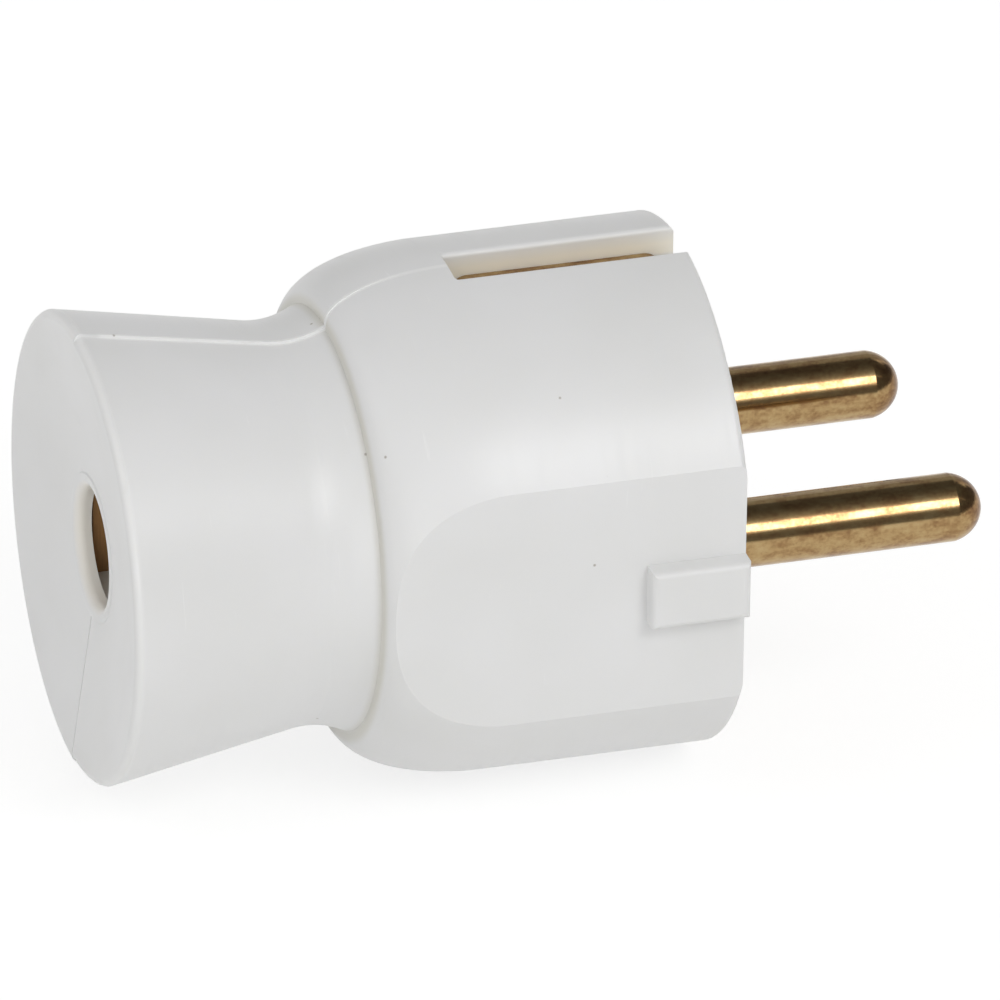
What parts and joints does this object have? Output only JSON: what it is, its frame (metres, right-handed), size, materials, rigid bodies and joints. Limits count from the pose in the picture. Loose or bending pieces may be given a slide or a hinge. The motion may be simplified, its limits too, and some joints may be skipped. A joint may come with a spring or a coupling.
{
  "type": "type f plug",
  "caption": "Rewirable straight mains plug with round pins, side earth contacts, an earth socket and a flared grip with a dished cord entry",
  "frame": {"origin": "centre of the engagement face, midway between the two pins", "axes": "+X along the plug to the pin tips, +Y from the near pin to the far pin, +Z to the upper earth contact, which is on the side of the earth socket"},
  "size_m": [0.0623, 0.0356, 0.037],
  "materials": {
    "housing": "satin moulded",
    "insert": "satin moulded",
    "pins": "turned",
    "earth_contact": "rolled strip",
    "screws": "zinc plated",
    "fibre": "pressed fibre"
  },
  "bodies": {
    "root": {"near_shell": "housing", "far_shell": "housing", "pin_carrier": "insert", "near_pin": "pins", "far_pin": "pins", "near_terminal_screw": "screws", "far_terminal_screw": "screws", "earth_strip": "earth_contact", "earth_socket": "earth_contact", "earth_washer": "screws", "earth_terminal_screw": "screws", "clamp_saddle": "insert", "clamp_strip": "fibre", "upper_clamp_screw": "screws", "lower_clamp_screw": "screws", "upper_housing_screw": "screws", "lower_housing_screw": "screws", "upper_housing_nut": "screws", "lower_housing_nut": "screws"}
  },
  "joints": []
}
